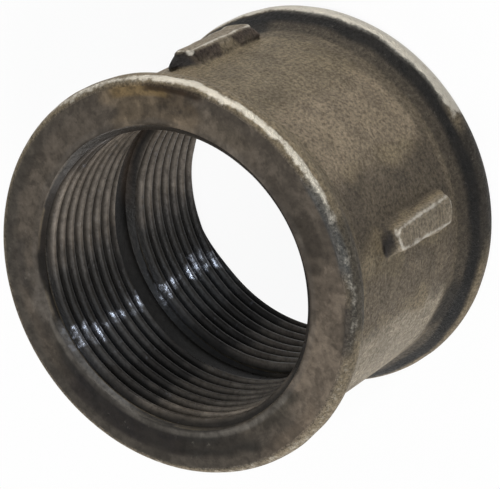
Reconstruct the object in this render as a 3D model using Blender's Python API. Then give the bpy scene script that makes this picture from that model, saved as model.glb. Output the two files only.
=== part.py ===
# Ribbed cast iron pipe coupling: a short socket with a rolled band at each end,
# ribs down its side and a right-hand parallel pipe thread tapped in from each mouth.
#
# The coupling stands on one machined end face, with its bore along +Z.
# The origin is the middle of that face. Sizes are in metres.

import math

import bpy
from mathutils import Matrix

# parallel pipe thread, 11 turns to the inch, 55 degree form; THREAD_RADIUS is its outer radius
THREAD_RADIUS = 0.0239
PITCH = 0.0254 / 11
FLANK_ANGLE = math.radians(27.5)
THREAD_FLAT = 1 / 6
LOWER_TURN = math.radians(36)
UPPER_TURN = math.radians(189)
MOUTH_CLEARANCE = 0.0001
MOUTH_ANGLE = math.radians(40)

# casting
LENGTH = 0.0449
WALL = 0.0045
BAND_HEIGHT = 0.0026
BAND_REACH = 0.0081
BAND_CREST_DEPTH = 0.0022
BAND_CORNER = 0.0014

# cored hole under the thread's crests, and the groove left between the two taps
CORE_CLEARANCE = 0.0004
RELIEF_DEPTH = 0.0002
RELIEF_WIDTH = 0.0043
RELIEF_ANGLE = math.radians(60)

# ribs; their middle lies RIB_DROP below the casting's
RIB_COUNT = 4
RIB_LENGTH = 0.0190
RIB_TOP_LENGTH = 0.0168
RIB_DROP = 0.0010
RIB_HEIGHT = 0.0026
RIB_FOOT_WIDTH = 0.0052
RIB_TOP_WIDTH = 0.0047
RIB_CORNER = 0.0013
RIB_EDGE = 0.0006
RIB_FILLET = 0.0005

# facets
ROUND_STEPS = 80
THREAD_STEPS = 40
CORNER_STEPS = 3
BEAD_STEPS = 7

# how deep a rib is rooted in the wall
RIB_ROOT = 0.0012

# radii that follow from the sizes above
THREAD_HEIGHT = (0.5 - THREAD_FLAT) * PITCH / math.tan(FLANK_ANGLE)
MOUTH_RADIUS = THREAD_RADIUS + MOUTH_CLEARANCE
CORE_RADIUS = THREAD_RADIUS - THREAD_HEIGHT - CORE_CLEARANCE
RELIEF_RADIUS = THREAD_RADIUS + RELIEF_DEPTH
BODY_RADIUS = THREAD_RADIUS + WALL
BAND_RADIUS = BODY_RADIUS + BAND_HEIGHT


def clear_scene():
    for old in list(bpy.data.objects):
        bpy.data.objects.remove(old, do_unlink=True)


def iron_material():
    iron = bpy.data.materials.new("cast_iron")
    iron.use_nodes = True
    shader = iron.node_tree.nodes["Principled BSDF"]
    shader.inputs["Base Color"].default_value = (0.115, 0.095, 0.072, 1)
    shader.inputs["Roughness"].default_value = 0.55
    shader.inputs["Metallic"].default_value = 0.6
    return iron


def mesh_object(name, vertices, faces):
    mesh = bpy.data.meshes.new(name)
    mesh.from_pydata(vertices, [], faces)
    mesh.update()
    thing = bpy.data.objects.new(name, mesh)
    bpy.context.collection.objects.link(thing)
    return thing


def ring(radius, z, steps):
    turns = [2 * math.pi * k / steps for k in range(steps)]
    return [(radius * math.cos(a), radius * math.sin(a), z) for a in turns]


def bridge(lower, upper, count):
    """Faces between two closed loops that hold the same number of vertices."""
    faces = []
    for k in range(count):
        after = (k + 1) % count
        faces.append((lower + k, lower + after, upper + after, upper + k))
    return faces


def stacked_solid(name, loops):
    """Closed solid through a stack of loops, each counter-clockwise seen from the stack's top."""
    count = len(loops[0])
    vertices = [point for loop in loops for point in loop]
    faces = [tuple(reversed(range(count)))]
    for level in range(len(loops) - 1):
        faces += bridge(level * count, (level + 1) * count, count)
    top = (len(loops) - 1) * count
    faces.append(tuple(range(top, top + count)))
    return mesh_object(name, vertices, faces)


def bore_profile():
    """Radius and distance from the end face: the mouth's edge, the cone that trims the first crests,
    the cored wall under the thread, and the relief groove's side and floor."""
    cone = (MOUTH_RADIUS - CORE_RADIUS) / math.tan(MOUTH_ANGLE)
    floor = 0.5 * (LENGTH - RELIEF_WIDTH)
    side = floor - (RELIEF_RADIUS - CORE_RADIUS) / math.tan(RELIEF_ANGLE)
    return [(MOUTH_RADIUS, 0), (CORE_RADIUS, cone), (CORE_RADIUS, side), (RELIEF_RADIUS, floor)]


def band_profile():
    """Radius and distance from the end face: the face's rounded corner, the band's crest
    and its swept back, which runs out into the plain body."""
    points = []
    for k in range(CORNER_STEPS + 1):
        a = 0.5 * math.pi * k / CORNER_STEPS
        radius = BAND_RADIUS - BAND_CORNER * (1 - math.sin(a))
        points.append((radius, BAND_CREST_DEPTH * (1 - math.cos(a))))
    for k in range(1, BEAD_STEPS + 1):
        t = k / BEAD_STEPS
        radius = BODY_RADIUS + BAND_HEIGHT * 0.5 * (1 + math.cos(math.pi * t))
        points.append((radius, BAND_CREST_DEPTH + (BAND_REACH - BAND_CREST_DEPTH) * t))
    return points


def casting():
    """The casting turned from its wall's section: down the lower bore, out along the end face,
    up the outside, and back in by the upper face and bore, which mirror the lower ones."""
    half = bore_profile()[::-1] + band_profile()
    section = half + [(radius, LENGTH - depth) for radius, depth in reversed(half)]
    vertices = [point for radius, z in section for point in ring(radius, z, ROUND_STEPS)]
    faces = []
    for level in range(len(section)):
        after = (level + 1) % len(section)
        faces += bridge(level * ROUND_STEPS, after * ROUND_STEPS, ROUND_STEPS)
    return mesh_object("pipe_coupling", vertices, faces)


def rounded_outline(length, width, corner, x):
    """Rounded rectangle at the given x, its length along Z, counter-clockwise seen from +X."""
    points = []
    for quarter, (side, end) in enumerate(((1, 1), (-1, 1), (-1, -1), (1, -1))):
        for k in range(CORNER_STEPS + 1):
            a = 0.5 * math.pi * (quarter + k / CORNER_STEPS)
            y = side * (0.5 * width - corner) + corner * math.cos(a)
            z = end * (0.5 * length - corner) + corner * math.sin(a)
            points.append((x, y, 0.5 * LENGTH - RIB_DROP + z))
    return points


def rib(index):
    """One rib, level by level: a root inside the wall, a flared foot, drafted sides and an eased top edge."""
    flare, ease = 2 * RIB_FILLET, 2 * RIB_EDGE
    top = BODY_RADIUS + RIB_HEIGHT
    levels = (
        (RIB_LENGTH + flare, RIB_FOOT_WIDTH + flare, BODY_RADIUS - RIB_ROOT),
        (RIB_LENGTH + flare, RIB_FOOT_WIDTH + flare, BODY_RADIUS),
        (RIB_LENGTH + 0.3 * flare, RIB_FOOT_WIDTH + 0.3 * flare, BODY_RADIUS + 0.3 * RIB_FILLET),
        (RIB_LENGTH, RIB_FOOT_WIDTH, BODY_RADIUS + RIB_FILLET),
        (RIB_TOP_LENGTH, RIB_TOP_WIDTH, top - RIB_EDGE),
        (RIB_TOP_LENGTH - 0.4 * ease, RIB_TOP_WIDTH - 0.4 * ease, top - 0.3 * RIB_EDGE),
        (RIB_TOP_LENGTH - ease, RIB_TOP_WIDTH - ease, top),
    )
    loops = [rounded_outline(length, width, RIB_CORNER, x) for length, width, x in levels]
    piece = stacked_solid(f"rib_{index}", loops)
    piece.data.transform(Matrix.Rotation(2 * math.pi * index / RIB_COUNT, 4, "Z"))
    return piece


def tap_cutter(name, turn):
    """Threaded plug that enters the lower mouth and ends in the relief groove.

    Each step holds four corners of the thread's section: both edges of its floor, then both edges
    of its crest. The steps climb one pitch a turn. They lie between the casting's facet edges,
    so the two meshes cross cleanly, and the whole helix can be turned about the bore.
    """
    phase = math.pi / ROUND_STEPS + turn
    corners = ((0, 0), (THREAD_FLAT, 0), (0.5, THREAD_HEIGHT), (0.5 + THREAD_FLAT, THREAD_HEIGHT))
    depth = 0.5 * LENGTH + 0.5 * PITCH
    turns = math.ceil(depth / PITCH + 1.5)
    start = depth - turns * PITCH
    count = turns * THREAD_STEPS
    vertices = []
    for k in range(count + 1):
        a = 2 * math.pi * (k % THREAD_STEPS) / THREAD_STEPS + phase
        for along, inward in corners:
            z = start + PITCH * (k / THREAD_STEPS + along - 1)
            radius = THREAD_RADIUS - inward
            vertices.append((radius * math.cos(a), radius * math.sin(a), z))
    faces = []
    for k in range(count):
        for j in range(3):
            near = 4 * k + j
            faces.append((near, near + 4, near + 5, near + 1))
    for k in range(count - THREAD_STEPS):
        near = 4 * k + 3
        far = 4 * (k + THREAD_STEPS)
        faces.append((near, near + 4, far + 4, far))
    last = count - THREAD_STEPS
    bottom = [4 * k for k in range(THREAD_STEPS + 1)] + [3, 2, 1]
    top = [4 * k + 3 for k in range(last, count + 1)] + [4 * count + 2, 4 * count + 1, 4 * count]
    for loop in (bottom[::-1], top):
        middle = len(vertices)
        vertices.append((0, 0, sum(vertices[i][2] for i in loop) / len(loop)))
        faces += [(here, after, middle) for here, after in zip(loop, loop[1:] + loop[:1])]
    return mesh_object(name, vertices, faces)


def turn_end_for_end(thing):
    """Half a turn about a line across the middle, so a right-hand thread stays right-hand."""
    middle = Matrix.Translation((0, 0, 0.5 * LENGTH))
    thing.data.transform(middle @ Matrix.Rotation(math.pi, 4, "X") @ middle.inverted())


def combine(body, other, operation):
    step = body.modifiers.new(other.name, "BOOLEAN")
    step.operation = operation
    step.object = other
    step.solver = "EXACT"
    other.hide_render = True
    other.display_type = "WIRE"


def build():
    clear_scene()
    body = casting()
    for index in range(RIB_COUNT):
        combine(body, rib(index), "UNION")
    lower_tap = tap_cutter("lower_tap", LOWER_TURN)
    upper_tap = tap_cutter("upper_tap", UPPER_TURN)
    turn_end_for_end(upper_tap)
    combine(body, lower_tap, "DIFFERENCE")
    combine(body, upper_tap, "DIFFERENCE")
    body.data.materials.append(iron_material())
    body.data.shade_smooth()
    body.data.set_sharp_from_angle(angle=math.radians(35))


build()
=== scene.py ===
import math

import bmesh
import bpy
import numpy as np
from mathutils import Matrix, Vector


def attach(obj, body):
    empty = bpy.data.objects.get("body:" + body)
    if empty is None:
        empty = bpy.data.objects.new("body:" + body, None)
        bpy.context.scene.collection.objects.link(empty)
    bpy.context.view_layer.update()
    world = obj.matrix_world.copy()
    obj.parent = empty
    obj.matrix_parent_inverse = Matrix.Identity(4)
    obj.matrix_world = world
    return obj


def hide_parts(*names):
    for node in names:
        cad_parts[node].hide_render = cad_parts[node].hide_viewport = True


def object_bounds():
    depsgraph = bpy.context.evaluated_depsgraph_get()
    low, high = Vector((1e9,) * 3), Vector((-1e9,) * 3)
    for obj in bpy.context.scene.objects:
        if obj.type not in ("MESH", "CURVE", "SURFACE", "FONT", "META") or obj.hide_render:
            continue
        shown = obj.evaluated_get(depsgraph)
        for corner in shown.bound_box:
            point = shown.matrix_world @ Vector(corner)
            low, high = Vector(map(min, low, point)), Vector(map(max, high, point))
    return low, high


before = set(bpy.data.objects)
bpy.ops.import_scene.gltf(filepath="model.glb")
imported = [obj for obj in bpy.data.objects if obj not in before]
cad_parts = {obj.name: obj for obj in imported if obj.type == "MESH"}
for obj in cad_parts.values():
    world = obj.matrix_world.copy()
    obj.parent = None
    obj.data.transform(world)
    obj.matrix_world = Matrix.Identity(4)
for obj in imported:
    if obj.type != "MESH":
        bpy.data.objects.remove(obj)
cadLow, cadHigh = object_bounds()
mm = 0.001

# The casting in millimetres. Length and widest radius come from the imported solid.
casting = {
    "length": (cadHigh.z - cadLow.z) / mm,
    "bandRadius": cadHigh.x / mm,
    "bodyRadius": 28.4,
    "bandReach": 8.1,          # how far each band runs from its end face
    "bandCrest": 2.2,          # depth of its widest ring
    "bandCorner": 1.4,         # rounding of the end face's outer edge
    "mouthRadius": {"lower": 24.0, "upper": 23.75},
    "mouthWide": (84, 28, 1.1),  # azimuth, half width and size of the lower mouth's wider spot
    "mouthSlope": math.tan(math.radians(40)),
    "reliefRadius": 24.1,
    "reliefWidth": 4.3,
    "reliefSlope": math.tan(math.radians(60)),
    "columns": 240,
    "lumpHeight": 0.07,        # unevenness that the sand mould left
    "seed": 7,
}

# The pipe thread in millimetres, cut from both mouths
thread = {
    "radius": 23.9,            # to the groove's floor
    "pitch": 2.409,            # as the photograph shows it, 4% more than the standard one
    "height": 1.479,
    "flat": 1 / 6,             # floor and crest as shares of the pitch
    "lowerPhase": 0.25,       # where each tap's groove stands, in pitches from the middle
    "upperPhase": 0.60,
    "rows": (0, 0.07, 0.15, 0.25, 0.35, 0.43, 0.57, 0.65, 0.75, 0.85, 0.93),
    "crestWear": 0.10,         # share of the height that the rough core took off the crests
}

# One rib in millimetres, repeated round the body
rib = {
    "count": 4,
    "drop": 1.0,               # its middle lies this far below the casting's
    "foot": (19.0, 5.2),       # length and width at the foot, then at the top
    "top": (16.8, 4.2),
    "height": 2.6,
    "corner": 1.3,
    "edge": 0.6,
    "fillet": 0.5,
    "waver": 0.10,             # unevenness of its outline
    "taper": 0.16,             # how much narrower its top is at the upper end than in the middle
    "noseSlant": (0.42, -0.12, 0.10, -0.25),  # slope of each rib's upper end across its width
}


def lumps(x, y, z, wavelength, seed):
    # a sum of plane waves in random directions, so the surface swells and sinks without a pattern
    rng = np.random.default_rng(seed)
    total = np.zeros(np.broadcast(x, y, z).shape)
    count = 18
    for _ in range(count):
        way = rng.normal(size=3)
        way /= np.linalg.norm(way)
        length = wavelength * rng.uniform(0.7, 1.6)
        along = way[0] * x + way[1] * y + way[2] * z
        total += np.sin(2 * math.pi * along / length + rng.uniform(0, 2 * math.pi))
    return total / math.sqrt(count)


def smooth(edgeLow, edgeHigh, value):
    # 0 below the low edge, 1 above the high one, an S between
    t = np.clip((value - edgeLow) / (edgeHigh - edgeLow), 0, 1)
    return t * t * (3 - 2 * t)


def softMin(a, b, reach):
    # the lower of two values, with their meeting rounded over the reach
    h = np.maximum(reach - np.abs(a - b), 0) / reach
    return np.minimum(a, b) - h * h * reach * 0.25


def skinRadius(angle, z, radius):
    # the given radius plus the mould's unevenness, which dies out at the machined end faces
    x, y = radius * np.cos(angle), radius * np.sin(angle)
    depth = np.minimum(z, casting["length"] - z)
    swell = lumps(x, y, z, 9.0, casting["seed"]) + 0.5 * lumps(x, y, z, 4.0, casting["seed"] + 1)
    return radius + smooth(0.2, 2.5, depth) * casting["lumpHeight"] * np.minimum(swell, 0.3)


def patchHalf():
    # half size of the wall that each rib takes: whole columns across, and the fillet's room along
    room = 3 * rib["fillet"]
    column = 2 * math.pi * casting["bodyRadius"] / casting["columns"]
    length, width = rib["foot"]
    return math.ceil((width / 2 + room) / column), length / 2 + room


def outerSection():
    # radius and height up the outside: corner, crest, swept back, plain body, and the same mirrored
    c = casting
    a = np.linspace(0, math.pi / 2, 8)
    cornerR = c["bandRadius"] - c["bandCorner"] * (1 - np.sin(a))
    cornerZ = c["bandCrest"] * (1 - np.cos(a))
    t = np.linspace(0, 1, 15)[1:]
    backR = c["bodyRadius"] + (c["bandRadius"] - c["bodyRadius"]) * 0.5 * (1 + np.cos(math.pi * t))
    backZ = c["bandCrest"] + (c["bandReach"] - c["bandCrest"]) * t
    endR, endZ = np.concatenate([cornerR, backR]), np.concatenate([cornerZ, backZ])
    middle, half = c["length"] / 2 - rib["drop"], patchHalf()[1]
    plainZ = np.concatenate([
        np.linspace(c["bandReach"], middle - half, 5)[1:-1],
        np.linspace(middle - half, middle + half, 31),
        np.linspace(middle + half, c["length"] - c["bandReach"], 7)[1:-1],
    ])
    radius = np.concatenate([endR, np.full(len(plainZ), c["bodyRadius"]), endR[::-1]])
    return radius, np.concatenate([endZ, plainZ, c["length"] - endZ[::-1]])


def mouthEdge(angle, upper):
    # the mouth's radius, with a bell-shaped widening at one spot of the lower one
    centre, half, size = casting["mouthWide"]
    away = (np.degrees(angle) - centre + 180) % 360 - 180
    lower = casting["mouthRadius"]["lower"] + size * np.exp(-(away / half) ** 4)
    return np.where(upper, casting["mouthRadius"]["upper"], lower)


def boreRadius(angle, z):
    # the widest of the three cuts: the tap's helix, the mouth's cone and the relief's sloping side
    middle = casting["length"] / 2
    upper = z > middle
    depth = np.where(upper, casting["length"] - z, z)
    groove = middle + np.where(upper, -thread["upperPhase"], thread["lowerPhase"]) * thread["pitch"]
    turn = (z - groove) / thread["pitch"] - angle / (2 * math.pi)
    fromFloor = np.abs(turn - np.round(turn))
    rise = np.clip((fromFloor - thread["flat"] / 2) / (0.5 - thread["flat"]), 0, 1)
    rise = 0.5 * rise + 0.5 * smooth(0, 1, rise)
    wear = 1 - thread["crestWear"] * (0.5 + 0.25 * lumps(np.cos(angle) * 23, np.sin(angle) * 23, z, 7.0, 21))
    tapped = thread["radius"] - thread["height"] * softMin(rise, wear, 0.12)
    cone = mouthEdge(angle, upper) - casting["mouthSlope"] * depth
    beyond = middle - depth - casting["reliefWidth"] / 2
    relief = casting["reliefRadius"] - casting["reliefSlope"] * beyond
    return np.maximum(tapped, np.maximum(cone, relief))


def tappedGrid(angle, top, bottom, phase):
    # rows that climb one pitch a turn along the thread, held between the two heights
    pitch = thread["pitch"]
    first = casting["length"] / 2 + phase * pitch
    first += pitch * math.ceil((top - first) / pitch)
    turns = math.ceil((first - bottom) / pitch) + 1
    rows = (np.arange(turns)[:, None] + np.array(thread["rows"])[None, :]).ravel()
    z = first - pitch * rows[:, None] + pitch * angle[None, :] / (2 * math.pi)
    z = np.clip(z, bottom, top)
    return boreRadius(angle[None, :], z), z


def flatGrid(angle, radii, heights):
    # plain rings, one row for each radius and height
    shape = (len(radii), len(angle))
    return tuple(np.broadcast_to(np.array(v, float)[:, None], shape) for v in (radii, heights))


def gridFaces(rows, columns, first, climb):
    # four corners a face; the last column meets the first one, a turn's climb further down
    ids = first + np.arange(rows * columns).reshape(rows, columns)
    closing = np.concatenate([np.full(climb, ids[0, 0]), ids[: rows - climb, 0]])
    ids = np.column_stack([ids, closing])
    return np.stack([ids[:-1, :-1], ids[1:, :-1], ids[1:, 1:], ids[:-1, 1:]], -1)


def polar(radius, angle, z):
    # x and y from the radius and angle, with z beside them
    return np.stack([radius * np.cos(angle), radius * np.sin(angle), z + 0 * radius], -1)


def ribLevels():
    # size of each loop up the rib: grown past the foot, drafted side, eased edge, then in to the middle line
    fillet, edge, height, corner = (rib[k] for k in ("fillet", "edge", "height", "corner"))
    foot, top = np.array(rib["foot"]), np.array(rib["top"])
    flare = [(foot + 2.4 * fillet * (1 - math.sin(k)), 1.2 * fillet * (1 - math.cos(k)) ** 1.3, corner)
             for k in np.linspace(0, math.pi / 2, 5)]
    base = flare[-1][1]
    side = [(foot + (top - foot) * t, base + (height - edge - base) * t, corner)
            for t in np.linspace(0, 1, 7)[1:]]
    ease = []
    for k in np.linspace(0, math.pi / 2, 6)[1:]:
        inset = edge * (1 - math.cos(k))
        ease.append((top - 2 * inset, height - edge * (1 - math.sin(k)), corner - inset))
    last, level, corner = ease[-1]
    inner = [(last - 2 * corner * t - np.array((0, last[1] - 2 * corner)) * t, level, corner * (1 - t))
             for t in (0.3, 0.65, 1)]
    return flare + side + ease + inner


def ribPatch(index, edgeAcross, edgeAlong):
    # loops from the wall's rectangular gap in to the rib's middle line
    # each point keeps its direction from the foot's outline
    length, width = rib["foot"]
    core = np.array((width / 2 - rib["corner"], length / 2 - rib["corner"]))
    edge = np.stack([edgeAcross, edgeAlong], -1)
    held = np.clip(edge, -core, core)
    way = (edge - held) / np.linalg.norm(edge - held, axis=1, keepdims=True)
    loops, heights = [edge], [0.0]
    for size, height, corner in ribLevels():
        half = np.array((size[1], size[0])) / 2 - corner
        loops.append(held * half / core + corner * way)
        heights.append(height)
    loops, heights = np.array(loops), np.array(heights)[:, None]
    loops = np.insert(loops, 1, 0.5 * (loops[0] + loops[1]), 0)
    heights = np.insert(heights, 1, 0.0, 0) + 0 * loops[..., 0]
    angle = 2 * math.pi * index / rib["count"]
    rise = smooth(0, 0.8, heights)
    swing = rise * smooth(0.2, 1.4, loops[..., 1] - core[1] + 1.0) * rib["noseSlant"][index]
    narrow = 1 - rise * rib["taper"] * 2 * loops[..., 1] / rib["foot"][0]
    across, along = loops[..., 0] * narrow, loops[..., 1] + swing * loops[..., 0]
    wobble = rise * rib["waver"]
    place = (across + 90 * index, along, heights)
    across = across + wobble * lumps(*place, 3.2, 31) * smooth(0, 1, np.abs(across))
    along = along + wobble * lumps(*place, 3.2, 32) * smooth(0, 1, np.abs(loops[..., 1]))
    heights = heights + 0.6 * wobble * np.minimum(lumps(*place, 3.6, 33), 0.4)
    turn = angle + across / casting["bodyRadius"]
    z = casting["length"] / 2 - rib["drop"] + along
    return polar(skinRadius(turn, z, casting["bodyRadius"]) + heights, turn, z)


def outerWall(angle):
    # the turned section with a gap for each rib, and the ribs' own patches that close the gaps
    radius, z = (v[:, None] + 0 * angle[None, :] for v in outerSection())
    count, wide = casting["columns"], patchHalf()[0]
    middle = casting["length"] / 2 - rib["drop"]
    rows = np.flatnonzero(np.abs(z[:, 0] - middle) < patchHalf()[1] + 1e-6)
    columns = np.arange(-wide, wide + 1)
    starts = np.arange(rib["count"])[:, None] * count // rib["count"]
    keep = np.ones((len(radius) - 1, count), bool)
    keep[rows[0]:rows[-1], (starts + columns[:-1]).ravel() % count] = False
    points = [polar(skinRadius(angle[None, :], z, radius), angle[None, :], z).reshape(-1, 3)]
    faces = [gridFaces(*radius.shape, 0, 0)[keep]]
    # round the gap: along its low edge, up, back along its high edge, and down
    across = columns * 2 * math.pi / count * casting["bodyRadius"]
    along = z[rows, 0] - middle
    side = np.ones(len(along) - 2)
    edgeAcross = np.concatenate([across, side * across[-1], across[::-1], side * across[0]])
    edgeAlong = np.concatenate([0 * across + along[0], along[1:-1], 0 * across + along[-1], along[-2:0:-1]])
    for index in range(rib["count"]):
        patch = ribPatch(index, edgeAcross, edgeAlong)
        faces.append(gridFaces(*patch.shape[:2], sum(map(len, points)), 0).reshape(-1, 4))
        points.append(patch.reshape(-1, 3))
    return np.concatenate(points), np.concatenate(faces)


def buildCoupling(materials):
    # sections in order round the wall: up the outside, over the top face, down the bore, under the foot
    c = casting
    angle = 2 * math.pi * np.arange(c["columns"]) / c["columns"]
    length, half = c["length"], c["length"] / 2
    floorTop, floorLow = half + c["reliefWidth"] / 2, half - c["reliefWidth"] / 2
    share = np.linspace(0, 1, 15)[:, None]
    outerEdge = c["bandRadius"] - c["bandCorner"]
    mouths = [boreRadius(angle, np.full(len(angle), z))[None, :] for z in (0, length)]
    faceR = [outerEdge + (mouth - outerEdge) * share for mouth in mouths]
    climb = len(thread["rows"])
    sections = [
        (faceR[1], np.full_like(faceR[1], length), 0, 1),
        (*tappedGrid(angle, length, floorTop, -thread["upperPhase"]), climb, 2),
        (*flatGrid(angle, np.full(5, c["reliefRadius"]), np.linspace(floorTop, floorLow, 5)), 0, 2),
        (*tappedGrid(angle, floorLow, 0, thread["lowerPhase"]), climb, 2),
        (faceR[0][::-1], np.zeros_like(faceR[0]), 0, 1),
    ]
    wall, wallFaces = outerWall(angle)
    points, faces, slots = [wall], [wallFaces[:, ::-1]], [np.zeros(len(wallFaces))]
    first = len(wall)
    for radius, z, rowClimb, slot in sections:
        points.append(polar(radius, angle[None, :], z).reshape(-1, 3))
        found = gridFaces(*radius.shape, first, rowClimb).reshape(-1, 4)
        faces.append(found[:, ::-1])
        slots.append(np.full(len(found), slot))
        first += radius.size
    points, faces = np.concatenate(points), np.concatenate(faces)
    used, faces = np.unique(faces, return_inverse=True)
    mesh = bpy.data.meshes.new("couplingCasting")
    mesh.from_pydata(points[used] * mm, [], faces.reshape(-1, 4))
    for material in materials:
        mesh.materials.append(material)
    mesh.polygons.foreach_set("material_index", np.concatenate(slots).astype(np.int32))
    work = bmesh.new()
    work.from_mesh(mesh)
    bmesh.ops.remove_doubles(work, verts=work.verts, dist=0.002 * mm)
    openEdges = sum(1 for edge in work.edges if len(edge.link_faces) != 2)
    print("casting: open edges", openEdges, "volume cm3", round(work.calc_volume() * 1e6, 3))
    bmesh.ops.triangulate(work, faces=work.faces)
    work.to_mesh(mesh)
    work.free()
    mesh.shade_smooth()
    mesh.set_sharp_from_angle(angle=math.radians(50))
    piece = bpy.data.objects.new("couplingCasting", mesh)
    bpy.context.scene.collection.objects.link(piece)
    print("casting: triangles", len(mesh.polygons))
    return piece


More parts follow.
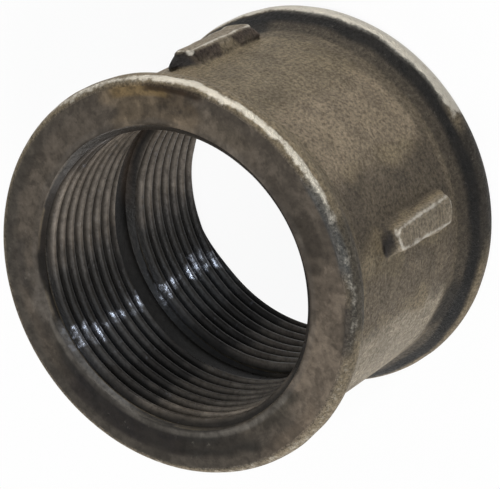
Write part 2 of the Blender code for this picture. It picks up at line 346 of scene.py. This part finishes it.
# What years of oil, soil and handling left, with painted light and shade laid over it. A stain holds its
# azimuth in degrees and half its width there, its radius range in millimetres and its colour. A patch also
# has a range of depth from the top face and a strength.
allRound = 400                 # half width of what runs all the way round
patinaAndPaintedLight = {
    "skin": (0.135, 0.108, 0.070),
    "face": (0.080, 0.066, 0.052),
    "bore": (0.043, 0.036, 0.029),
    "faceStains": (
        (249, 29, (23.0, 31.5), (0.135, 0.108, 0.082)),    # wiped lighter
        (214, 14, (28.0, 31.5), (0.138, 0.108, 0.080)),
        (110, 84, (27.9, 31.5), (0.052, 0.045, 0.037)),    # dull by the rim
        (150, 48, (23.0, 26.3), (0.018, 0.017, 0.015)),    # oil that ran out of the thread
        (165, 38, (26.1, 28.0), (0.023, 0.021, 0.018)),
        (212, 12, (23.0, 26.2), (0.048, 0.041, 0.032)),
        (95, 9, (23.0, 26.2), (0.135, 0.118, 0.100)),
        (84, 9, (26.1, 28.0), (0.050, 0.043, 0.036)),
        (0, 9, (23.0, 31.5), (0.125, 0.096, 0.065)),       # a little rust
        (343, 9, (23.0, 26.3), (0.128, 0.099, 0.069)),
        (346, 8, (26.3, 31.5), (0.064, 0.049, 0.034)),
        (281, 8, (23.0, 26.2), (0.058, 0.047, 0.036)),
        (325, 11, (23.0, 28.0), (0.103, 0.084, 0.064)),
    ),
    # painted light and shade round the bore: lighter on its lit side, near black on the side in shade
    "boreStains": (
        (38, 38, (20.0, 26.0), (0.058, 0.049, 0.040)),
        (62, 14, (20.0, 26.0), (0.064, 0.055, 0.046)),
        (118, 36, (20.0, 26.0), (0.019, 0.018, 0.017)),
        (102, 12, (20.0, 26.0), (0.0085, 0.0078, 0.0070)),
        (141, 10, (20.0, 26.0), (0.0105, 0.0095, 0.0086)),
        (187, 15, (20.0, 26.0), (0.074, 0.063, 0.051)),
    ),
    "grooveShade": 0.20,       # share of the bore's colour that is left in the thread's grooves
    "crestGain": 2.8,          # painted light: what its crests gain on that
    "patches": (
        # the upper end face: near black where oil ran, a rusty streak and dark spots by the rim
        (146, 24, (24.6, 28.2), (-1, 0.2), (0.011, 0.009, 0.009), 0.8),
        (182, 14, (25.4, 28.0), (-1, 0.2), (0.016, 0.013, 0.010), 0.6),
        (284, 7, (24.6, 27.4), (-1, 0.2), (0.028, 0.023, 0.018), 0.7),
        (357, 8, (28.2, 29.9), (-1, 0.3), (0.165, 0.112, 0.050), 0.75),
        (343, 11, (28.9, 30.0), (-1, 0.5), (0.018, 0.011, 0.006), 0.9),
        (255, 8, (29.2, 31.0), (-1, 1.0), (0.030, 0.026, 0.022), 0.8),
        # the upper mouth: a lip wiped lighter, then painted shade in the cone inside it, lighter on one side,
        # and on the thread just below it
        (0, allRound, (23.9, 24.7), (-1, 0.15), (0.096, 0.084, 0.072), 0.5),
        (104, 15, (24.0, 24.7), (-1, 0.15), (0.112, 0.102, 0.088), 0.9),
        (136, 16, (23.4, 24.0), (-1, 0.3), (0.112, 0.102, 0.088), 0.8),
        (188, 35, (23.9, 24.7), (-1, 0.15), (0.112, 0.102, 0.088), 0.9),
        (0, allRound, (22.2, 23.5), (-1, 1.5), (0.024, 0.021, 0.018), 0.9),
        (60, 38, (22.2, 23.5), (-1, 1.3), (0.015, 0.012, 0.010), 0.9),
        (91, 12, (22.2, 24.0), (-1, 1.5), (0.008, 0.007, 0.006), 0.9),
        (8, 28, (22.2, 23.9), (-1, 1.5), (0.018, 0.015, 0.012), 0.9),
        (248, 20, (22.2, 23.9), (-1, 1.5), (0.018, 0.015, 0.012), 0.9),
        (128, 20, (22.2, 23.7), (-1, 1.3), (0.100, 0.096, 0.092), 0.85),
        (188, 32, (22.2, 23.7), (0.4, 3.0), (0.018, 0.016, 0.014), 0.75),
        # painted shade on the wall where a lamp shines in past the lip
        (20, 25, (22.2, 24.2), (0.9, 6.5), (0.016, 0.013, 0.011), 0.8),
        # the thread: painted shade in the grooves on one side, and a painted bluish reflection in them
        # further round
        (62, 34, (23.3, 24.2), (1.8, 43), (0.006, 0.005, 0.004), 0.75),
        (118, 13, (23.3, 24.2), (1.8, 43), (0.022, 0.023, 0.027), 0.6),
        # rings: the lower mouth's cone, then painted shade in the relief groove with painted light on two
        # stretches of it
        (0, allRound, (22.4, 24.6), (43.4, 46), (0.042, 0.037, 0.032), 0.9),
        (0, allRound, (22.4, 25.0), (20.2, 25.6), (0.009, 0.009, 0.009), 0.95),
        (44, 24, (22.4, 25.0), (22.3, 24.8), (0.068, 0.052, 0.041), 0.9),
        (192, 18, (22.4, 25.0), (21.0, 25.2), (0.050, 0.042, 0.032), 0.9),
        # painted shadow in the hollow by the lower band, blacker towards the band, and on the bands painted
        # shade, a painted highlight and a painted bluish reflection
        (0, allRound, (27.0, 30.7), (33.9, 41.0), (0.056, 0.047, 0.038), 0.5),
        (0, allRound, (27.0, 30.8), (37.2, 41.2), (0.020, 0.017, 0.014), 0.65),
        (0, allRound, (27.0, 30.8), (39.2, 41.2), (0.004, 0.004, 0.004), 0.97),
        # a painted highlight on the lower band's rim
        (326, 30, (30.0, 31.5), (41.3, 42.3), (0.270, 0.275, 0.265), 0.7),
        (12, 11, (27.0, 30.7), (36.0, 41.0), (0.006, 0.006, 0.006), 0.85),
        (232, 10, (27.0, 30.7), (36.0, 41.0), (0.006, 0.006, 0.006), 0.7),
        (272, 26, (29.8, 31.5), (41.0, 44.9), (0.013, 0.012, 0.011), 0.9),
        (268, 18, (29.9, 31.5), (0.3, 4.5), (0.031, 0.028, 0.023), 0.8),
        # a painted bluish reflection on the upper band's corner
        (281, 17, (29.4, 31.2), (-1, 1.0), (0.054, 0.057, 0.058), 0.75),
        (282, 14, (28.0, 31.0), (3.0, 12.0), (0.052, 0.042, 0.032), 0.5),
        # the ribs: painted shadow at their upper ends, painted shade down one side, and tops rubbed lighter
        (0, allRound, (30.2, 31.6), (14.0, 33.0), (0.170, 0.142, 0.104), 0.7),
        (0, 7.5, (28.7, 30.6), (12.9, 15.2), (0.010, 0.009, 0.009), 0.97),
        (90, 7.5, (28.7, 30.6), (12.9, 15.2), (0.010, 0.009, 0.009), 0.8),
        (180, 7.5, (28.7, 30.6), (12.9, 15.2), (0.010, 0.009, 0.009), 0.8),
        (270, 7.5, (28.7, 30.6), (12.9, 15.2), (0.010, 0.009, 0.009), 0.97),
        (-5.4, 1.8, (28.6, 30.6), (15.0, 33.0), (0.042, 0.031, 0.025), 0.9),
        # the body: painted shade beside one rib and on two more stretches, and painted light and sheen on two
        # others
        (282, 12, (28.0, 29.5), (8.0, 36.0), (0.056, 0.045, 0.033), 0.8),
        (308, 16, (28.0, 29.5), (8.0, 34.6), (0.170, 0.136, 0.096), 0.8),
        (228, 14, (28.0, 29.5), (8.0, 35.0), (0.220, 0.190, 0.145), 0.8),
        (252, 8, (28.0, 29.5), (8.0, 36.0), (0.092, 0.074, 0.054), 0.7),
        (334, 15, (28.0, 29.5), (8.0, 34.6), (0.112, 0.090, 0.059), 0.7),
    ),
    # bare bright edges and painted highlights: as the patches, but with only a strength
    "bright": (
        # a painted highlight along the upper band's corner
        (322, 30, (30.45, 31.3), (0.45, 1.3), 1.2),
        # a painted glint down the thread's crests
        (115, 3, (22.2, 23.6), (-1, 42), 0.5),
        # more painted highlight on the upper band's corner, then wear all round it
        (4, 22, (30.3, 31.3), (0.3, 1.3), 0.5),
        (0, allRound, (29.9, 31.3), (0.1, 1.4), 0.3),
        # a painted highlight along the lower band's rim
        (338, 46, (30.3, 31.4), (41.5, 44.3), 1.6),
    ),
}


def window(value, low, high, soft):
    # 1 between the two limits and 0 outside, with soft flanks
    return smooth(low - soft, low + soft, value) * (1 - smooth(high - soft, high + soft, value))


def stainedAndShaded(base, overlays, azimuth, radius):
    # the base colour with each stain laid over it, fading as a flat-topped bell round its azimuth; in the
    # bore the same lays on painted light and shade
    colour = np.repeat(np.array(base, float)[None, :], len(azimuth), 0)
    for centre, half, radii, tone in overlays:
        away = (azimuth - centre + 180) % 360 - 180
        weight = np.exp(-(away / half) ** 6) * window(radius, *radii, 0.8)
        colour += (np.array(tone) - colour) * weight[:, None]
    return colour


def paintCasting(piece):
    # colours each point by its base colour, stains, patches and painted light and shade, and marks where it
    # is worn bare or carries a painted highlight
    mesh = piece.data
    place = np.empty(len(mesh.vertices) * 3, np.float32)
    mesh.vertices.foreach_get("co", place)
    x, y, z = place.reshape(-1, 3).T.astype(float) / mm
    radius, azimuth = np.hypot(x, y), np.degrees(np.arctan2(y, x))
    depth = casting["length"] - z
    inward = np.minimum(depth, z)
    stray = lumps(x, y, z, 7.0, 41)
    colour = np.repeat(np.array(patinaAndPaintedLight["skin"], float)[None, :], len(x), 0)
    # end faces: the lower one takes the upper one's stains the other way round
    drift = azimuth + 3 * lumps(x, y, z, 4.0, 43)
    turned = np.where(z < casting["length"] / 2, 200 - drift, drift)
    onFace = (1 - smooth(0.05, 0.4, inward)) * (1 - smooth(29.5, 30.3, radius))
    face = stainedAndShaded(patinaAndPaintedLight["face"], patinaAndPaintedLight["faceStains"], turned, radius + 0.25 * lumps(x, y, z, 3.0, 44))
    colour += (face - colour) * onFace[:, None]
    # the bore: painted shade in the grooves, painted light towards the crests
    crest = (casting["reliefRadius"] - radius) / thread["height"]
    inBore = (radius < casting["bandRadius"] - 7.2) * (inward > 0.25)
    shade = patinaAndPaintedLight["grooveShade"] + patinaAndPaintedLight["crestGain"] * smooth(0.38, 1.0, crest)
    grooved = stainedAndShaded(patinaAndPaintedLight["bore"], patinaAndPaintedLight["boreStains"], drift, radius) * shade[:, None]
    colour[inBore] = grooved[inBore]
    for patch in patinaAndPaintedLight["patches"]:
        colour += (np.array(patch[4]) - colour) * patchWeight(patch, radius, azimuth, depth, stray)[:, None]
    colour *= (1 + 0.06 * lumps(x, y, z, 5.0, 42))[:, None]
    rgba = np.column_stack([np.clip(colour, 0.003, 1), np.ones(len(x))]).astype(np.float32)
    mesh.attributes.new("patinaAndPaintedLight", "FLOAT_COLOR", "POINT").data.foreach_set("color", rgba.ravel())
    # the wear attribute holds real wear and the painted highlights
    wear = wearAndHighlightAmount(radius, azimuth, z, stray)
    mesh.attributes.new("wear", "FLOAT", "POINT").data.foreach_set("value", wear.astype(np.float32))


def patchWeight(patch, radius, azimuth, depth, stray):
    # inside the patch's azimuths, radii and depths, with edges that wander
    centre, half, radii, depths = patch[:4]
    away = np.abs((azimuth - centre + 180) % 360 - 180) + 4 * stray
    weight = patch[-1] * (1 - smooth(half * 0.7, half * 1.3, away))
    return weight * window(radius + 0.12 * stray, *radii, 0.3) * window(depth + 0.15 * stray, *depths, 0.45)


def ribOutline(azimuth, z):
    # distance in millimetres from the outline of the nearest rib's top: a rounded rectangle, narrower upwards
    step = 360 / rib["count"]
    away = np.radians(azimuth - step * np.round(azimuth / step))
    across = np.abs(away * (casting["bodyRadius"] + rib["height"]))
    along = z - casting["length"] / 2 + rib["drop"]
    length, width = (size - rib["edge"] for size in rib["top"])
    narrow = 1 - rib["taper"] * 2 * along / rib["foot"][0]
    corner = rib["corner"] * 0.7
    beyond = np.stack([across - width / 2 * narrow + corner, np.abs(along) - length / 2 + corner])
    return np.hypot(*np.maximum(beyond, 0)) + np.minimum(beyond.max(0), 0) - corner


def wearAndHighlightAmount(radius, azimuth, z, stray):
    # bare metal shows on the bright patches, most of them painted highlights and a painted glint, the ribs'
    # upper edges, the mouth's rim and the thread's crests
    c = casting
    depth = np.minimum(z, c["length"] - z)
    wear = sum(patchWeight(patch, radius, azimuth, c["length"] - z, stray) for patch in patinaAndPaintedLight["bright"])
    above = radius - c["bodyRadius"] - rib["height"]
    raised = smooth(-1.0, -0.7, above) * (depth > c["bandReach"])
    ribEdge = raised * np.exp(-(ribOutline(azimuth, z) / 0.3) ** 2)
    crestRadius = thread["radius"] - thread["height"]
    crest = window(radius, crestRadius - 0.5, crestRadius + 0.28, 0.1)
    return np.clip(wear + 0.8 * ribEdge + 0.12 * crest, 0, 1)


def addNode(tree, kind, settings={}, **sockets):
    # a node with its settings, and each named socket either linked or given a value
    node = tree.nodes.new("ShaderNode" + kind)
    for name, value in settings.items():
        setattr(node, name, value)
    for name, value in sockets.items():
        found = [k for k in node.inputs if k.name.replace(" ", "") == name or k.identifier == name]
        if isinstance(value, bpy.types.NodeSocket):
            tree.links.new(value, found[0])
        else:
            found[0].default_value = value
    return node


def newGroup(name, inputs, outputs):
    # an empty shader group with named sockets, and its two end nodes
    group = bpy.data.node_groups.new(name, "ShaderNodeTree")
    for side, sockets in (("INPUT", inputs), ("OUTPUT", outputs)):
        for label, kind in sockets.items():
            group.interface.new_socket(label, in_out=side, socket_type="NodeSocket" + kind)
    return group, group.nodes.new("NodeGroupInput").outputs, group.nodes.new("NodeGroupOutput").inputs


def mixColour(tree, share, first, second):
    # first at share 0, second at share 1
    node = addNode(tree, "Mix", {"data_type": "RGBA"}, Factor_Float=share, A_Color=first, B_Color=second)
    return node.outputs[2]


def mathValue(tree, operation, *values):
    # one Math node's result
    sockets = dict(zip(("Value", "Value_001", "Value_002"), values))
    return addNode(tree, "Math", {"operation": operation}, **sockets).outputs[0]


def noiseValue(tree, place, scale, detail, roughness, distortion=0.0):
    # one Noise Texture's value
    node = addNode(tree, "TexNoise", {}, Vector=place, Scale=scale, Detail=detail, Roughness=roughness)
    node.inputs["Distortion"].default_value = distortion
    return node.outputs["Fac"]


def easedRange(tree, value, low, high):
    # 0 at low and 1 at high, an S between
    settings = {"interpolation_type": "SMOOTHSTEP"}
    return addNode(tree, "MapRange", settings, Value=value, FromMin=low, FromMax=high).outputs[0]


def makeSandGrain():
    # height = coarse noise + fine noise - pits, which are raised grains where their size is negative
    # speckle = the height stretched to 0..1
    group, given, result = newGroup("sandGrain", {"Scale": "Float", "Pits": "Float"},
                                    {"Height": "Float", "Speckle": "Float"})
    place = addNode(group, "TexCoord").outputs["Object"]
    coarse = noiseValue(group, place, given["Scale"], 3.0, 0.6)
    fine = noiseValue(group, place, mathValue(group, "MULTIPLY", given["Scale"], 2.6), 4.0, 0.7)
    cells = addNode(group, "TexVoronoi", {}, Vector=place, Scale=given["Scale"], Randomness=1.0)
    pit = easedRange(group, cells.outputs["Distance"], 0.30, 0.05)
    sunk = mathValue(group, "MULTIPLY", pit, given["Pits"])
    both = mathValue(group, "MULTIPLY_ADD", fine, 0.55, coarse)
    height = mathValue(group, "SUBTRACT", both, sunk)
    speckle = addNode(group, "MapRange", {}, Value=height, FromMin=0.55, FromMax=1.0).outputs[0]
    group.links.new(height, result["Height"])
    group.links.new(speckle, result["Speckle"])
    return group


def makeWearAndHighlight():
    # bare metal and painted highlights where the wear attribute, broken up by noise, passes a limit
    group, given, result = newGroup("wearAndHighlight",
                                    {"Colour": "Color", "Bare": "Color", "Amount": "Float", "Scale": "Float"},
                                    {"Colour": "Color", "Mask": "Float", "Polish": "Float"})
    place = addNode(group, "TexCoord").outputs["Object"]
    wear = addNode(group, "Attribute", {"attribute_name": "wear"}).outputs["Fac"]
    noise = noiseValue(group, place, given["Scale"], 5.0, 0.7)
    edge = easedRange(group, mathValue(group, "MULTIPLY_ADD", wear, 0.5, noise), 0.62, 0.98)
    mask = mathValue(group, "MULTIPLY", edge, given["Amount"])
    group.links.new(mixColour(group, mask, given["Colour"], given["Bare"]), result["Colour"])
    group.links.new(mask, result["Mask"])
    group.links.new(edge, result["Polish"])
    return group


def makeGrime():
    # darkens the colour where the noise falls below its middle, over a soft edge
    sockets = {"Colour": "Color", "Grime": "Color", "Amount": "Float", "Scale": "Float", "Edge": "Float"}
    group, given, result = newGroup("grime", sockets, {"Colour": "Color"})
    place = addNode(group, "TexCoord").outputs["Object"]
    noise = noiseValue(group, place, given["Scale"], 6.0, 0.62, 0.4)
    middle = 0.48
    above = mathValue(group, "ADD", given["Edge"], middle)
    below = mathValue(group, "SUBTRACT", middle, given["Edge"])
    mask = mathValue(group, "MULTIPLY", easedRange(group, noise, above, below), given["Amount"])
    group.links.new(mixColour(group, mask, given["Colour"], given["Grime"]), result["Colour"])
    return group


sandGrain, wearAndHighlight, grime = makeSandGrain(), makeWearAndHighlight(), makeGrime()

# The three finishes of the one casting. Scales are features in a metre, bump depths are metres.
finishes = {
    "castSkin": {"grain": 1900.0, "pits": -0.20, "bump": 0.00022, "contrast": 0.55, "roughness": (0.44, 0.68),
                 "specular": 0.12, "polished": 0.36, "grime": 0.24, "grimeScale": 260.0, "grimeEdge": 0.12,
                 "wear": 0.9, "bare": (0.44, 0.41, 0.35)},
    "machinedFace": {"grain": 620.0, "pits": 0.10, "bump": 0.00004, "contrast": 0.36,
                     "roughness": (0.40, 0.60), "specular": 0.10, "polished": 0.32, "grime": 0.38,
                     "grimeScale": 170.0, "grimeEdge": 0.035, "wear": 0.6, "bare": (0.36, 0.33, 0.28)},
    # the bore's bare colour is bluish, the colour of its painted glint
    "tappedBore": {"grain": 1100.0, "pits": 0.20, "bump": 0.00005, "contrast": 0.34,
                   "roughness": (0.22, 0.40), "specular": 0.08, "polished": 0.15, "grime": 0.20,
                   "grimeScale": 300.0, "grimeEdge": 0.12, "wear": 0.85, "bare": (0.21, 0.22, 0.25)},
}
soil = (0.020, 0.017, 0.014, 1)


def ironMaterial(name):
    # painted patina with painted light and shade, speckled by the grain, soiled in its low places, and worn
    # bare or given painted highlights at the edges
    look = finishes[name]
    material = bpy.data.materials.new(name)
    material.use_nodes = True
    tree = material.node_tree
    shader = tree.nodes["Principled BSDF"]
    painted = addNode(tree, "Attribute", {"attribute_name": "patinaAndPaintedLight"}).outputs["Color"]
    grain = addNode(tree, "Group", {"node_tree": sandGrain}, Scale=look["grain"], Pits=look["pits"])
    speckle, contrast = grain.outputs["Speckle"], look["contrast"]
    dark = addNode(tree, "MapRange", {}, Value=speckle, ToMin=1 - contrast, ToMax=1 + contrast).outputs[0]
    speckled = addNode(tree, "VectorMath", {"operation": "SCALE"}, Vector=painted, Scale=dark)
    soiled = addNode(tree, "Group", {"node_tree": grime}, Colour=speckled.outputs["Vector"], Grime=soil,
                     Amount=look["grime"], Scale=look["grimeScale"], Edge=look["grimeEdge"])
    wornAndHighlit = addNode(tree, "Group", {"node_tree": wearAndHighlight}, Colour=soiled.outputs["Colour"],
                   Bare=(*look["bare"], 1), Amount=look["wear"], Scale=700.0)
    smoothest, roughest = look["roughness"]
    gloss = addNode(tree, "MapRange", {}, Value=speckle, ToMin=roughest, ToMax=smoothest).outputs[0]
    bare = wornAndHighlit.outputs["Polish"]
    polished = addNode(tree, "MapRange", {}, Value=bare, ToMin=gloss, ToMax=look["polished"])
    bump = addNode(tree, "Bump", {}, Strength=1.0, Distance=look["bump"], Height=grain.outputs["Height"])
    tree.links.new(wornAndHighlit.outputs["Colour"], shader.inputs["Base Color"])
    tree.links.new(polished.outputs[0], shader.inputs["Roughness"])
    tree.links.new(wornAndHighlit.outputs["Mask"], shader.inputs["Metallic"])
    tree.links.new(bump.outputs["Normal"], shader.inputs["Normal"])
    shader.inputs["Specular IOR Level"].default_value = look["specular"]
    return material


coupling = buildCoupling([ironMaterial(name) for name in finishes])
paintCasting(coupling)
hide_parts("pipe_coupling")
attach(coupling, "root")
print("stage: casting done")

# The photograph's view. The camera was rolled, because the coupling lay on its side there.
cameraView = {
    "azimuth": 22.9,
    "elevation": 53.19,
    "roll": -120.56,
    "distance": 13.92,      # in band radii, from the middle of the top face
    "right": 0.3786,
    "up": 0.170,
    "lens": 210.8,
}


def addCamera():
    # looks down the view's direction at a point beside the top face, turned about that direction by the roll
    v = cameraView
    unit = casting["bandRadius"] * mm
    azimuth, elevation, roll = (math.radians(v[k]) for k in ("azimuth", "elevation", "roll"))
    flat = math.cos(elevation)
    back = Vector((math.sin(azimuth) * flat, -math.cos(azimuth) * flat, math.sin(elevation)))
    level = Vector((math.cos(azimuth), math.sin(azimuth), 0))
    upright = back.cross(level)
    right = math.cos(roll) * level + math.sin(roll) * upright
    up = -math.sin(roll) * level + math.cos(roll) * upright
    target = Vector((0, 0, casting["length"] * mm)) + unit * (v["right"] * right + v["up"] * up)
    camera = bpy.data.objects.new("camera", bpy.data.cameras.new("camera"))
    camera.data.lens = v["lens"]
    place = Matrix.Translation(target + back * v["distance"] * unit)
    camera.matrix_world = place @ Matrix((right, up, back)).transposed().to_4x4()
    bpy.context.scene.collection.objects.link(camera)
    bpy.context.scene.camera = camera


addCamera()

# Soft studio light. Azimuth and elevation in degrees as seen from the coupling, sizes and distance in metres;
# level 1 lights a surface that faces the lamp so that its colour renders as written.
studio = {
    "ambient": 0.22,
    "floorColour": (0.86, 0.86, 0.86),
    "floorGlow": 0.93,         # share of plain white that the camera sees in the floor
    "lamps": {
        "key": {"azimuth": 356, "elevation": 7, "distance": 1.3, "size": (1.0, 0.26), "level": 0.85,
                "colour": (1.0, 0.97, 0.92)},
        "fill": {"azimuth": 175, "elevation": 10, "distance": 1.2, "size": (1.0, 0.5), "level": 1.1,
                "colour": (1.0, 0.985, 0.965)},
        "side": {"azimuth": 243, "elevation": 52, "distance": 1.2, "size": (0.4, 0.4), "level": 0.45,
                "colour": (1.0, 0.97, 0.93)},
        "glint": {"azimuth": 296, "elevation": 62, "distance": 1.0, "size": (0.05, 0.5), "level": 0.3,
                "colour": (0.80, 0.89, 1.0)},
    },
}


def addLamp(name, look):
    # an area lamp turned towards the middle of the coupling
    azimuth, elevation = math.radians(look["azimuth"]), math.radians(look["elevation"])
    flat = math.cos(elevation)
    way = Vector((math.cos(azimuth) * flat, math.sin(azimuth) * flat, math.sin(elevation)))
    data = bpy.data.lights.new(name, "AREA")
    data.shape = "RECTANGLE"
    data.size, data.size_y = look["size"]
    data.energy = look["level"] * (math.pi * look["distance"]) ** 2
    data.color = look["colour"]
    lamp = bpy.data.objects.new(name, data)
    turned = way.to_track_quat("Z", "Y").to_matrix().to_4x4()
    lamp.matrix_world = Matrix.Translation(way * look["distance"]) @ turned
    bpy.context.scene.collection.objects.link(lamp)


for lampName, lampLook in studio["lamps"].items():
    addLamp(lampName, lampLook)


def seenDirectly(tree):
    # 1 where the camera, a reflection or glass sees the surface, 0 for the light it sends on
    path = addNode(tree, "LightPath").outputs
    seen = mathValue(tree, "ADD", path["Is Camera Ray"], path["Is Glossy Ray"])
    seen = mathValue(tree, "ADD", seen, path["Is Transmission Ray"])
    return mathValue(tree, "MINIMUM", seen, 1.0)


def buildWorld():
    # white to the camera, in reflections and through glass; otherwise a dim even light
    world = bpy.data.worlds.new("studio")
    bpy.context.scene.world = world
    world.use_nodes = True
    tree = world.node_tree
    level = addNode(tree, "MapRange", {}, Value=seenDirectly(tree), ToMin=studio["ambient"], ToMax=1.0)
    tree.links.new(level.outputs[0], tree.nodes["Background"].inputs["Strength"])
    tree.nodes["Background"].inputs["Color"].default_value = (1, 1, 1, 1)


def buildFloor():
    # a wide pale sheet under the coupling, brightened to white where it is seen
    side = 3.0
    mesh = bpy.data.meshes.new("floor")
    corners = np.array([(-1, -1), (1, -1), (1, 1), (-1, 1)]) * side
    mesh.from_pydata(np.column_stack([corners, np.full(4, -0.1 * mm)]), [], [(0, 1, 2, 3)])
    floor = bpy.data.objects.new("floor", mesh)
    bpy.context.scene.collection.objects.link(floor)
    material = bpy.data.materials.new("paleFloor")
    material.use_nodes = True
    tree = material.node_tree
    shader = tree.nodes["Principled BSDF"]
    shader.inputs["Base Color"].default_value = (*studio["floorColour"], 1)
    shader.inputs["Roughness"].default_value = 0.9
    white = addNode(tree, "Emission", {}, Color=(1, 1, 1, 1), Strength=1.0).outputs[0]
    share = mathValue(tree, "MULTIPLY", seenDirectly(tree), studio["floorGlow"])
    mixed = addNode(tree, "MixShader", {}, Fac=share, Shader=shader.outputs[0], Shader_001=white).outputs[0]
    tree.links.new(mixed, tree.nodes["Material Output"].inputs["Surface"])
    mesh.materials.append(material)


bpy.context.scene.view_settings.view_transform = "Standard"
buildWorld()
buildFloor()
print("stage: camera, lamps and floor done")
